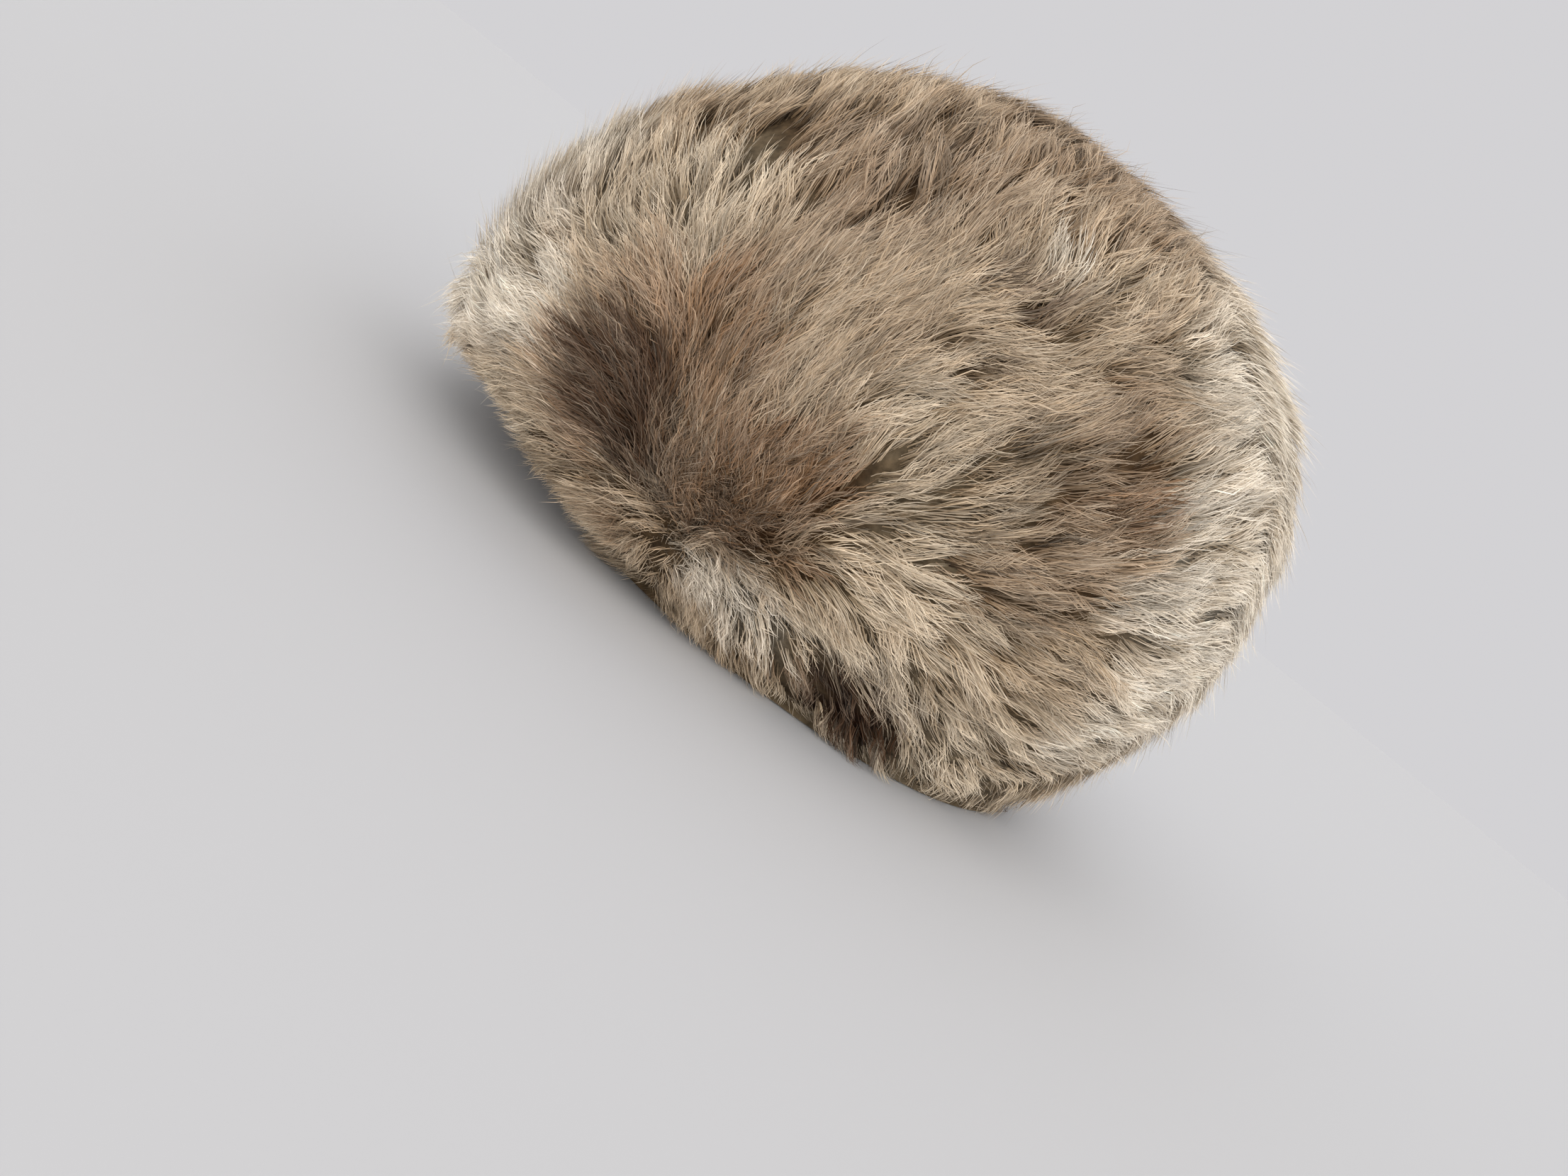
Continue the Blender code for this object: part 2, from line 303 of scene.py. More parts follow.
class TelpekFormSettings(bpy.types.PropertyGroup):
    wall: bpy.props.FloatProperty(
        name="Pelt wall", description="Thickness of hide and lying fur",
        default=0.025, unit="LENGTH")
    skin_depth: bpy.props.FloatProperty(
        name="Skin depth", description="How deep the pelt's face lies under the fur's outside",
        default=0.0065, unit="LENGTH")
    hem_top_width: bpy.props.FloatProperty(
        name="Width over the hem", description="Width of the dome where it meets the hem",
        default=0.244, unit="LENGTH")
    width: bpy.props.FloatProperty(
        name="Width", description="Full width of the hat", default=0.270, unit="LENGTH")
    bulge_rise: bpy.props.FloatProperty(
        name="Bulge rise", description="Height over the hem at which the sides are fully swollen",
        default=0.034, unit="LENGTH")
    fullness_at_brow: bpy.props.FloatProperty(
        name="Fullness at brow", description="2 is an oval, more is boxier", default=2.10)
    fullness_at_nape: bpy.props.FloatProperty(
        name="Fullness at nape", description="2 is an oval, more is boxier", default=2.55)
    pole_setback: bpy.props.FloatProperty(
        name="Pole setback", description="From the brow to the middle of a side panel's foot",
        default=0.117, unit="LENGTH")
    opening_length: bpy.props.FloatProperty(
        name="Opening length", description="Head opening from brow to nape",
        default=0.210, unit="LENGTH")
    opening_width: bpy.props.FloatProperty(
        name="Opening width", description="Head opening from ear to ear",
        default=0.170, unit="LENGTH")
    opening_setback: bpy.props.FloatProperty(
        name="Opening setback", description="From the brow fur to the opening's front edge",
        default=0.0655, unit="LENGTH")
    rim_land: bpy.props.FloatProperty(
        name="Rim width at the sides", description="Width of the flat rim beside the ears",
        default=0.012, unit="LENGTH")
    rim_land_at_ends: bpy.props.FloatProperty(
        name="Rim width at the ends", description="Width of the flat rim at brow and nape",
        default=0.006, unit="LENGTH")
    brow_lift: bpy.props.FloatProperty(
        name="Brow lift", description="How far the rim rises over the brow",
        default=0.008, unit="LENGTH")
    brow_lift_start: bpy.props.FloatProperty(
        name="Brow lift start", description="How far in front of the opening's middle it starts",
        default=0.066, unit="LENGTH")
    brow_lift_run: bpy.props.FloatProperty(
        name="Brow lift run", description="Length over which the rim rises",
        default=0.036, unit="LENGTH")
    hide_colour: bpy.props.FloatVectorProperty(
        name="Hide", description="Colour of the bare skin inside", subtype="COLOR",
        size=3, default=linear(HIDE))


class TelpekFurSettings(bpy.types.PropertyGroup):
    length: bpy.props.FloatProperty(
        name="Pile length", description="Usual length of a lock", default=0.026, unit="LENGTH")
    hair_width: bpy.props.FloatProperty(
        name="Hair width", description="Width of a hair at its root",
        default=0.00038, unit="LENGTH")
    sink: bpy.props.FloatProperty(
        name="Sink", description="How far the locks lie under the fur's outside",
        default=0.0020, unit="LENGTH")
    comb_reach: bpy.props.FloatProperty(
        name="Comb reach", description="How far one stroke of the comb is felt",
        default=0.016, unit="LENGTH")
    brightness: bpy.props.FloatProperty(
        name="Brightness", description="How much paler the wool is than it looks in its own shade",
        default=1.90)
    lock_radius: bpy.props.FloatProperty(
        name="Lock radius", description="Reach of a lock's roots round its middle",
        default=0.0026, unit="LENGTH")
    hairs_per_lock: bpy.props.IntProperty(
        name="Hairs in a lock", description="How many hairs share a tip", default=10)
    locks_per_tuft: bpy.props.IntProperty(
        name="Locks in a tuft", description="How many locks lean together", default=8)
    tuft_pull: bpy.props.FloatProperty(
        name="Tuft pull", description="How far the locks of a tuft lean together", default=0.50)
    gather: bpy.props.FloatProperty(
        name="Gather", description="How far the hairs draw together at the tip", default=0.72)
    wave: bpy.props.FloatProperty(
        name="Wave", description="Sideways sway of a lock at its tip",
        default=0.0013, unit="LENGTH")
    stray_share: bpy.props.FloatProperty(
        name="Stray share", description="Share of hairs that stand away from their lock",
        default=0.10)
    hairs: bpy.props.IntProperty(
        name="Hairs in a piece", description="Hairs in each of the pieces of fur",
        default=27000)
    far_share: bpy.props.FloatProperty(
        name="Far side share", description="Share of hairs on the side that shows less",
        default=0.80)


class TelpekStudioSettings(bpy.types.PropertyGroup):
    camera_place: bpy.props.FloatVectorProperty(
        name="Camera", description="Where the camera stands", subtype="TRANSLATION",
        size=3, default=(-0.0643, -0.4488, 0.1098))
    camera_pitch: bpy.props.FloatProperty(
        name="Camera pitch", description="How far the camera looks down in the photograph",
        subtype="ANGLE", default=math.radians(15.5))
    hat_tilt: bpy.props.FloatProperty(
        name="Hat tilt", description="How far back the hat is tipped in the photograph",
        subtype="ANGLE", default=math.radians(37.5))
    lens: bpy.props.FloatProperty(
        name="Lens", description="Focal length for a 36 mm wide frame, in mm", default=27.2)
    sky_colour: bpy.props.FloatVectorProperty(
        name="Backdrop", description="Colour of the even light all round", subtype="COLOR",
        size=3, default=(0.650, 0.643, 0.660))
    floor_colour: bpy.props.FloatVectorProperty(
        name="Floor", description="Colour of the floor", subtype="COLOR",
        size=3, default=(0.588, 0.588, 0.594))
    floor_radius: bpy.props.FloatProperty(
        name="Floor radius", description="Half the width of the floor", default=12.0,
        unit="LENGTH")


# Shape of the hat


def smooth_between(p0, p1, p2, p3, t):
    """A value of the smooth curve that runs from p1 to p2."""
    return 0.5 * (2 * p1 + (p2 - p0) * t + (2 * p0 - 5 * p1 + 4 * p2 - p3) * t ** 2
                  + (3 * p1 - p0 - 3 * p2 + p3) * t ** 3)


def smooth_step(low, high, value):
    share = np.clip((value - low) / (high - low), 0, 1)
    return share * share * (3 - 2 * share)


class HatForm:
    """The hat's outside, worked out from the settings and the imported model's box."""

    samples = 24

    def __init__(self, settings):
        self.settings = settings
        self.front = CAD_LOW.x
        self.length = CAD_HIGH.x - CAD_LOW.x
        self.rise = CAD_HIGH.z - HEM_TOP
        self.pole_x = self.front + settings.pole_setback
        self.opening_x = self.front + settings.opening_setback + settings.opening_length / 2
        self.middle = np.array((0.0, 0.0, HEM_TOP))
        self.run, self.line = self.profile()

    def profile(self):
        points = np.array(PROFILE) * (self.length, self.rise) + (self.front, 0)
        points = np.vstack((2 * points[0] - points[1], points, 2 * points[-1] - points[-2]))
        steps = np.arange(self.samples)[:, None] / self.samples
        parts = [smooth_between(*points[k - 1:k + 3], steps) for k in range(1, len(points) - 2)]
        line = np.vstack(parts + [points[-2:-1]])
        run = np.concatenate(([0], np.cumsum(np.linalg.norm(np.diff(line, axis=0), axis=1))))
        return run / run[-1], line

    def dome(self, along, across, depth=0.0):
        """Points of the dome, sunk by a depth towards the middle of the hollow."""
        s = self.settings
        x = np.interp(along, self.run, self.line[:, 0])
        height = np.interp(along, self.run, self.line[:, 1])
        turn = np.radians(90 * (1 - np.abs(across)))
        side, middle = np.cos(turn), np.sin(turn)
        fullness = s.fullness_at_brow + (s.fullness_at_nape - s.fullness_at_brow) * along
        size = (side ** fullness + middle ** fullness) ** (-1 / fullness)
        rise = height * middle * size
        tuck = (1 - s.hem_top_width / s.width) * np.clip(1 - rise / s.bulge_rise, 0, 1) ** 2
        points = np.stack((
            self.pole_x + (x - self.pole_x) * middle * size,
            np.sign(across) * s.width / 2 * side * size * (1 - tuck),
            HEM_TOP + rise,
        ), -1)
        return self.sink(points, depth)

    def sink(self, points, depth):
        inward = self.middle - points
        inward = inward / np.linalg.norm(inward, axis=-1, keepdims=True)
        return points + inward * np.asarray(depth)[..., None]

    def seam(self, along):
        """How far the seam lies from the side, as a share of the way to the centre line."""
        table = np.array(SEAM)
        fine = np.linspace(0, len(table) - 1, 200)
        k = np.clip(fine.astype(int), 0, len(table) - 2)
        rows = [table[np.clip(k + step, 0, len(table) - 1)] for step in (-1, 0, 1, 2)]
        line = smooth_between(*rows, (fine - k)[:, None])
        return np.interp(along, line[:, 0], line[:, 1])

    def hem(self, turn, way):
        """Points of the hem's outside: way runs from 0 at the dome over 1 at the rim's outer
        edge to 2 at the edge of the opening."""
        s = self.settings
        facing = np.stack((np.cos(turn), np.sin(turn)), -1)
        half = np.array((s.opening_length / 2, s.opening_width / 2))
        grown = half + (s.rim_land_at_ends, s.rim_land)
        opening = 1 / np.linalg.norm(facing / half, axis=-1)
        land = 1 / np.linalg.norm(facing / grown, axis=-1)
        forward = -facing[..., 0] * opening - s.brow_lift_start
        lift = s.brow_lift * smooth_step(0, s.brow_lift_run, forward)
        edge = self.base_reach(turn)
        upper = np.clip(way, 0, 1)
        lower = np.clip(way - 1, 0, 1)
        reach = edge + (land - edge) * upper ** 1.4 + (opening - land) * lower
        height = lift + (HEM_TOP - lift) * (1 - upper)
        return np.stack((
            self.opening_x + facing[..., 0] * reach, facing[..., 1] * reach, height), -1)

    def base_reach(self, turn):
        """How far the dome's lower edge reaches from the middle of the opening."""
        across = np.linspace(-1, 1, 400)
        points = np.vstack([self.dome(np.full_like(across, end), across) for end in (0.0, 1.0)])
        arm = points[:, :2] - (self.opening_x, 0)
        angle = np.arctan2(arm[:, 1], arm[:, 0])
        order = np.argsort(angle)
        return np.interp(turn, angle[order], np.linalg.norm(arm, axis=1)[order],
                         period=2 * np.pi)


class Ground:
    """The outside of the hat as one surface that hairs can find their way on."""

    dome_steps = 120
    hem_turns = 240
    hem_steps = 10

    def __init__(self, form):
        along, across = np.meshgrid(
            np.linspace(0, 1, self.dome_steps), np.linspace(-1, 1, self.dome_steps),
            indexing="ij")
        dome = form.dome(along, across)
        turn, way = np.meshgrid(
            np.linspace(-np.pi, np.pi, self.hem_turns), np.linspace(0, 2, self.hem_steps * 2),
            indexing="ij")
        hem = form.hem(turn, way)
        self.form = form
        self.places = (np.stack((along, across), -1), np.stack((turn, way), -1))
        self.points = (dome, hem)
        faces = [self.faces(0, dome.shape[:2]), self.faces(dome.shape[0] * dome.shape[1],
                                                          hem.shape[:2])]
        points = np.vstack([part.reshape(-1, 3) for part in self.points])
        self.tree = BVHTree.FromPolygons(points.tolist(), np.vstack(faces).tolist())

    @staticmethod
    def faces(start, shape):
        index = start + np.arange(shape[0] * shape[1]).reshape(shape)
        return np.stack((index[:-1, :-1], index[1:, :-1], index[1:, 1:], index[:-1, 1:]),
                        -1).reshape(-1, 4)

    def scatter(self, rng, part, count, keep):
        """Random places spread evenly over the dome (0) or the hem (1) where keep says so."""
        points, places = self.points[part], self.places[part]
        a, b = points[:-1, :-1], points[1:, :-1]
        c, d = points[1:, 1:], points[:-1, 1:]
        area = np.linalg.norm(np.cross(c - a, d - b), axis=-1) / 2
        centre = (places[:-1, :-1] + places[1:, 1:]) / 2
        area = area * keep(centre[..., 0], centre[..., 1], (a + c) / 2)
        picked = rng.choice(area.size, count, p=(area / area.sum()).ravel())
        row, column = np.unravel_index(picked, area.shape)
        u, v = rng.random((2, count, 1))
        return ((1 - u) * (1 - v) * a[row, column] + u * (1 - v) * b[row, column]
                + u * v * c[row, column] + (1 - u) * v * d[row, column])

    def touch(self, points):
        """The nearest places on the surface and which way is out there."""
        found = [self.tree.find_nearest(Vector(point)) for point in points]
        place = np.array([hit[0] for hit in found])
        out = np.array([hit[1] for hit in found])
        flip = np.sign(np.sum(out * (place - self.form.middle), axis=1, keepdims=True))
        return place, out * np.where(flip == 0, 1, flip)


# Lie and colour of the fur


def ripple(points, scale, seed):
    """Smooth noise between -1 and 1, made of crossed waves."""
    rng = np.random.default_rng(seed)
    total = np.zeros(len(points))
    for octave in range(6):
        way = rng.normal(size=3)
        way /= np.linalg.norm(way)
        size = scale * rng.uniform(0.6, 1.6)
        total += np.sin(points @ way * (2 * np.pi / size) + rng.uniform(0, 2 * np.pi))
    return total / 3.2


def unit(vectors):
    return vectors / np.maximum(np.linalg.norm(vectors, axis=-1, keepdims=True), 1e-9)


def mirrored(points):
    """Places as if they all lay on one side: X, Z and distance from the centre line."""
    return np.stack((points[:, 0], points[:, 2], np.abs(points[:, 1])), -1)


def lie(points, out):
    """The direction in which the pile lies at each point."""
    side = np.where(points[:, 1] < 0, -1.0, 1.0)
    over = np.stack((points[:, 2] - HEM_TOP, np.zeros(len(points)), -points[:, 0]), -1)
    way = 0.02 * unit(over)
    flat = mirrored(points)
    reach = bpy.context.scene.telpek_fur.comb_reach
    for x, z, off, back, inward, up in COMBS:
        near = np.exp(-np.sum((flat - (x, z, off)) ** 2, axis=1) / reach ** 2)
        ahead = np.stack((np.full_like(side, back), -side * inward, np.full_like(side, up)), -1)
        way += near[:, None] * ahead
    below = smooth_step(HEM_TOP - 0.002, HEM_TOP - 0.012, points[:, 2])[:, None]
    way = unit(way) * (1 - 0.35 * below) + below * (out * 0.1 - np.array((0, 0, 0.4)))
    way = unit(way - out * np.sum(way * out, axis=1, keepdims=True))
    swing = 0.10 * ripple(points, 0.036, 3) + 0.12 * ripple(points, 0.013, 5)
    across = np.cross(out, way)
    return unit(way * np.cos(swing)[:, None] + across * np.sin(swing)[:, None])


def stand(points):
    """How far the pile stands up: 0 lies flat."""
    brow = smooth_step(-0.112, -0.140, points[:, 0])
    nape = smooth_step(0.110, 0.140, points[:, 0])
    hem = smooth_step(HEM_TOP, HEM_TOP - 0.008, points[:, 2])
    crown = smooth_step(0.170, 0.200, points[:, 2])
    return (0.03 + 0.20 * brow + 0.06 * nape + 0.12 * hem + 0.03 * crown
            + 0.04 * ripple(points, 0.03, 8) + 0.03 * ripple(points, 0.012, 9))


def fur_colour_and_shading(points, rng):
    """The pile's colour at each root, in linear light: mostly its own, with painted shade in a few
    creases and at the parting and painted light on the low flank and the hem.
    """
    palette = {tone: np.array(linear(tone))
               for tone in (CREAM, LIGHT, BEIGE, TAUPE, BROWN, DARK, RUST)}
    drift = np.clip(0.42 * ripple(points, 0.050, 11) + 0.34 * ripple(points, 0.018, 12),
                    -1, 1)[:, None]
    colour = palette[BEIGE] + 0.6 * np.where(
        drift > 0, drift * (palette[LIGHT] - palette[BEIGE]),
        -drift * (palette[TAUPE] - palette[BEIGE]))
    ragged = mirrored(points) + rng.normal(scale=0.0022, size=points.shape)
    ragged += 0.0035 * np.stack([ripple(points, 0.020, seed) for seed in (13, 14, 15)], -1)
    hold = np.where(rng.random(len(points)) < 0.2, 0.7, 1.0)[:, None]
    for x, z, off, reach, tone, strength in PATCHES:
        near = np.linalg.norm(ragged - (x, z, off), axis=1) / reach
        share = strength * hold * smooth_step(1.45, 0.65, near)[:, None]
        colour = colour * (1 - share) + palette[tone] * share
    pale = bpy.context.scene.telpek_fur.brightness
    return colour * pale / (1 + (pale - 1) * np.max(colour, axis=1, keepdims=True))


# Pieces


def grow_fur(name, roots, hairs, seed, length_scale=1.0):
    """One mesh of many tapered hairs, bundled in locks about the given roots."""
    s = bpy.context.scene.telpek_fur
    ground = SURFACE["ground"]
    form = ground.form
    rng = np.random.default_rng(seed)
    count = len(roots)

    # Neighbouring locks lean together into tufts
    tufts = max(count // s.locks_per_tuft, 1)
    heads = roots[rng.choice(count, tufts, replace=False)]
    gaps = np.linalg.norm(roots[:, None] - heads[None], axis=2)
    tuft = gaps.argmin(axis=1)
    apart = gaps.min(axis=1)
    lean = (heads[tuft] - roots) * s.tuft_pull

    # Each lock's middle line, which creeps over the surface along the lie of the pile
    length = s.length * length_scale * rng.uniform(0.8, 1.2, count)
    length *= rng.uniform(0.85, 1.15, tufts)[tuft] * (1 - 0.5 * near_pole(form, roots, 0.016))
    place, out = ground.touch(roots)
    swing = rng.normal(scale=0.20, size=tufts)[tuft] + rng.normal(scale=0.09, size=count)
    swing *= 1 + 4 * np.maximum(near_pole(form, roots, 0.011),
                                near_pole(form, roots, 0.013, PARTING_DROP))
    lines, outs, ways = [], [], []
    for step in range(LOCK_STEPS):
        way = lie(place, out)
        way = unit(way * np.cos(swing)[:, None] + np.cross(out, way) * np.sin(swing)[:, None])
        lines.append(place)
        outs.append(out)
        ways.append(way)
        place, out = ground.touch(place + way * (length * CREEP / (LOCK_STEPS - 1))[:, None])
    lines, outs, ways = (np.stack(part, 1) for part in (lines, outs, ways))
    lifts = (stand(roots) + rng.normal(scale=0.020, size=count)
             + rng.normal(scale=0.022, size=tufts)[tuft])
    heights = rng.normal(scale=0.0006, size=count) + rng.normal(scale=0.0011, size=tufts)[tuft]
    colours = fur_colour_and_shading(lines[:, 3], rng)
    tones = np.clip(1 + rng.normal(scale=0.14, size=tufts)[tuft]
                    + rng.normal(scale=0.26, size=count), 0.45, 1.7)
    # Painted shade in the gaps between tufts: the further a lock's root lies from its tuft's head,
    # the further its dark root reaches along it, with some random spread
    gap_shade = 0.20 * (apart / 0.005 - 0.8) + rng.normal(scale=0.10, size=count)
    gap_shade = np.clip(gap_shade, -0.25, 0.35)

    # Hairs of the locks
    lock = np.sort(rng.integers(0, count, hairs))
    stray = rng.random(hairs) < s.stray_share
    radius = s.lock_radius * np.sqrt(rng.random(hairs))
    angle = rng.uniform(0, 2 * np.pi, hairs)
    beside, ahead = radius * np.cos(angle), radius * np.sin(angle) * 1.8
    own_length = rng.uniform(0.60, 1.0, hairs)
    levels = np.array(HAIR_LEVELS)
    way_along = levels[None, :] * own_length[:, None] * (LOCK_STEPS - 1) / CREEP
    low = np.clip(way_along.astype(int), 0, LOCK_STEPS - 2)
    part = (way_along - low)[..., None]
    pick = lock[:, None]

    def along_lock(values):
        return values[pick, low] * (1 - part) + values[pick, low + 1] * part

    centre, normal, way = along_lock(lines), unit(along_lock(outs)), unit(along_lock(ways))
    across = unit(np.cross(normal, way))
    t = levels[None, :]
    gather = np.where(stray, 0.0, s.gather)[:, None]
    phase = rng.uniform(0, 2 * np.pi, count)[lock][:, None]
    sway = s.wave * rng.uniform(0.2, 1.6, count)[lock][:, None] * t ** 0.7
    wander = rng.normal(scale=0.0008, size=(hairs, 1)) + stray[:, None] * rng.normal(
        scale=0.0026, size=(hairs, 1))
    sideways = (beside[:, None] * (1 - gather * t) + wander * t
                + sway * np.sin(phase + 2 * np.pi * 1.4 * t))
    rise = (lifts[lock] + stray * rng.uniform(0.02, 0.24, hairs))[:, None]
    depth = -ROOT_DEPTH * (1 - t) ** 1.3 + heights[lock][:, None] * t - s.sink
    depth = depth + rise * length[lock][:, None] * t ** 1.5 + rng.normal(
        scale=0.0005, size=(hairs, 1)) * t
    spine = centre + across * sideways[..., None] + way * ahead[:, None, None]
    spine += normal * depth[..., None] + lean[lock][:, None, :] * t[..., None] ** 1.2
    spine[..., 2] = np.maximum(spine[..., 2], LOWEST_HAIR)
    width = s.hair_width * np.where(stray, 0.6, 1.0)
    tints = hair_tints_and_shade(colours[lock], tones[lock], gap_shade[lock], stray, levels, rng)
    return build_hairs(name, spine, across, normal, rng, width, tints)


def near_pole(form, points, reach, drop=0.0):
    """1 where the pile parts over the ear, or a drop lower on the hem, falling to 0 round it."""
    pole = (form.pole_x - 0.6 * drop, HEM_TOP + 0.010 - drop,
            form.settings.width / 2 - 0.006 - 0.6 * drop)
    return np.exp(-np.sum((mirrored(points) - pole) ** 2, axis=1) / reach ** 2)


def hair_tints_and_shade(colours, tones, gap_shade, stray, levels, rng):
    """Colours along each hair: dark at the root, partly the wool's own dark roots and partly
    painted shade, its own in the middle, and pale at the tip, partly its cream tips and partly a
    painted highlight.
    """
    hairs = len(colours)
    cream = np.array(linear(TIP))
    light = np.mean(colours, axis=1)
    tones = tones ** np.interp(light, (0.04, 0.25), (2.0, 1.0))
    light = np.clip(1.25 * light ** 0.6, 0.1, 1.0)[:, None, None]
    own = np.minimum(tones, 1.15) * np.clip(rng.normal(1.0, 0.12, hairs), 0.7, 1.25)
    extra = np.clip(tones - 1, 0, 0.8)[:, None, None]
    # Painted shade and highlight along each hair: darker at the root, where the locks above shade
    # it, and brighter than its own colour at the tip, where the light catches it; the gap shade
    # moves the dark further along
    place = levels[None, :] - gap_shade[:, None]
    shade = np.interp(place, (0, 0.35, 0.65, 1.0), (0.24, 0.50, 0.86, 1.18))
    pale = np.interp(levels, (0, 0.5, 1.0), (0.0, 0.10, 0.50))[None, :, None]
    body = colours[:, None, :] * own[:, None, None] * shade[..., None] ** (1.0, 1.15, 1.38)
    pale = pale * (rng.uniform(0.0, 1.0, (hairs, 1, 1)) + 1.6 * extra)
    # Stray hairs are paler, partly their own colour and partly painted rim light on the loose fuzz
    pale = np.minimum(pale + 0.25 * stray[:, None, None], 1.0)
    return np.clip(body * (1 - pale * light) + cream * pale * light, 0.0, 1.0)


def build_hairs(name, spine, across, normal, rng, width, tints):
    """Flat tapered ribbons along the given spines, with their colours and their own UV cells."""
    hairs, levels = spine.shape[:2]
    roll = rng.normal(scale=0.5, size=(hairs, 1, 1))
    half = across * np.cos(roll) + normal * np.sin(roll)
    taper = np.interp(np.arange(levels), (0, 1, levels - 2, levels - 1), (1.0, 0.95, 0.62, 0.0))
    own = width[:, None, None] * rng.uniform(0.7, 1.35, (hairs, 1, 1)) / 2
    half = half * own * taper[None, :, None]
    left, right = spine[:, :-1] - half[:, :-1], spine[:, :-1] + half[:, :-1]
    pairs = np.stack((left, right), 2).reshape(hairs, -1, 3)
    points = np.concatenate((pairs, spine[:, -1:]), 1)
    per_hair = points.shape[1]
    points[..., 2] = np.maximum(points[..., 2], FLOOR_GAP)

    quads = [(2 * k, 2 * k + 1, 2 * k + 3, 2 * k + 2) for k in range(levels - 2)]
    tip = (per_hair - 3, per_hair - 2, per_hair - 1)
    corners = np.array([corner for quad in quads for corner in quad] + list(tip))
    sizes = np.array([4] * len(quads) + [3])
    starts = np.concatenate(([0], np.cumsum(sizes)[:-1]))
    loops = (corners[None, :] + per_hair * np.arange(hairs)[:, None]).ravel()

    mesh = bpy.data.meshes.new(name)
    mesh.vertices.add(hairs * per_hair)
    mesh.vertices.foreach_set("co", points.astype(np.float32).ravel())
    mesh.loops.add(len(loops))
    mesh.loops.foreach_set("vertex_index", loops.astype(np.int32))
    mesh.polygons.add(hairs * len(sizes))
    mesh.polygons.foreach_set("loop_start", (
        starts[None, :] + len(corners) * np.arange(hairs)[:, None]).astype(np.int32).ravel())
    mesh.update(calc_edges=True)
    mesh.validate()

    tint = mesh.attributes.new("fur_tint_and_shade", "FLOAT_COLOR", "POINT")
    by_pair = np.concatenate((np.repeat(tints[:, :-1], 2, axis=1), tints[:, -1:]), 1)
    values = np.concatenate((by_pair, np.ones((hairs, per_hair, 1))), 2)
    tint.data.foreach_set("color", values.astype(np.float32).ravel())

    columns = math.ceil(math.sqrt(hairs * 5))
    rows = math.ceil(hairs / columns)
    cell = np.stack((np.arange(hairs) % columns, np.arange(hairs) // columns), -1)
    height = np.append(np.repeat(np.linspace(0.1, 0.9, levels)[:-1], 2), 0.9)
    side = np.append(np.tile((0.25, 0.75), levels - 1), 0.5)
    inside = np.stack((side, height), -1)
    uv = (cell[:, None, :] + inside[None, :, :]) / (columns, rows)
    layer = mesh.uv_layers.new(name="OFBake")
    layer.data.foreach_set("uv", uv[:, corners].astype(np.float32).ravel())
    mesh.shade_smooth()
    mesh.materials.append(fur_material())
    piece = bpy.data.objects.new(name, mesh)
    bpy.context.scene.collection.objects.link(piece)
    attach(piece, BODY)
    return piece


def add_pelt(name, outer, inner, node):
    """A closed pelt wall: a grid laid on the outer face, pushed through to the inner face."""
    rows, columns = outer.shape[:2]
    bpy.ops.object.select_all(action="DESELECT")
    bpy.ops.mesh.primitive_grid_add(
        x_subdivisions=columns - 1, y_subdivisions=rows - 1, size=2, location=(0, 0, 0))
    piece = bpy.context.object
    bpy.ops.object.mode_set(mode="EDIT")
    bpy.ops.mesh.select_all(action="SELECT")
    bpy.ops.mesh.extrude_region()
    bpy.ops.transform.translate(value=(0, 0, 1))
    mesh = bmesh.from_edit_mesh(piece.data)
    for face in mesh.faces:
        face.material_index = int(all(vertex.co.z < 0.5 for vertex in face.verts))
    for vertex in mesh.verts:
        column = round((vertex.co.x + 1) / 2 * (columns - 1))
        row = round((vertex.co.y + 1) / 2 * (rows - 1))
        vertex.co = (outer if vertex.co.z > 0.5 else inner)[row, column]
    bmesh.update_edit_mesh(piece.data)
    bpy.ops.mesh.select_all(action="SELECT")
    bpy.ops.mesh.remove_doubles(threshold=0.00003)
    bpy.ops.mesh.normals_make_consistent(inside=False)
    bpy.ops.object.mode_set(mode="OBJECT")
    bpy.ops.object.shade_smooth_by_angle(angle=math.radians(50))
    mesh = piece.data
    points = np.empty(len(mesh.vertices) * 3)
    mesh.vertices.foreach_get("co", points)
    tint = mesh.attributes.new("fur_tint_and_shade", "FLOAT_COLOR", "POINT")
    wool = fur_colour_and_shading(points.reshape(-1, 3), np.random.default_rng(7))
    # Painted shade: the underwool takes the wool's colour darkened to 0.17 and warmer, standing in
    # for the shade in the gaps between the locks
    shade = 0.17 * wool ** (1, 1.1, 1.2)
    values = np.hstack((shade, np.ones((len(shade), 1))))
    tint.data.foreach_set("color", values.astype(np.float32).ravel())
    piece.name = mesh.name = name
    for material in (underwool_shade_material(), hide_material()):
        mesh.materials.append(material)
    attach(piece, BODY)
    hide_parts(node)
    return piece


# Materials


def node_tree(name):
    material = bpy.data.materials.get(name)
    if material:
        return material, None
    material = bpy.data.materials.new(name)
    material.use_nodes = True
    return material, material.node_tree


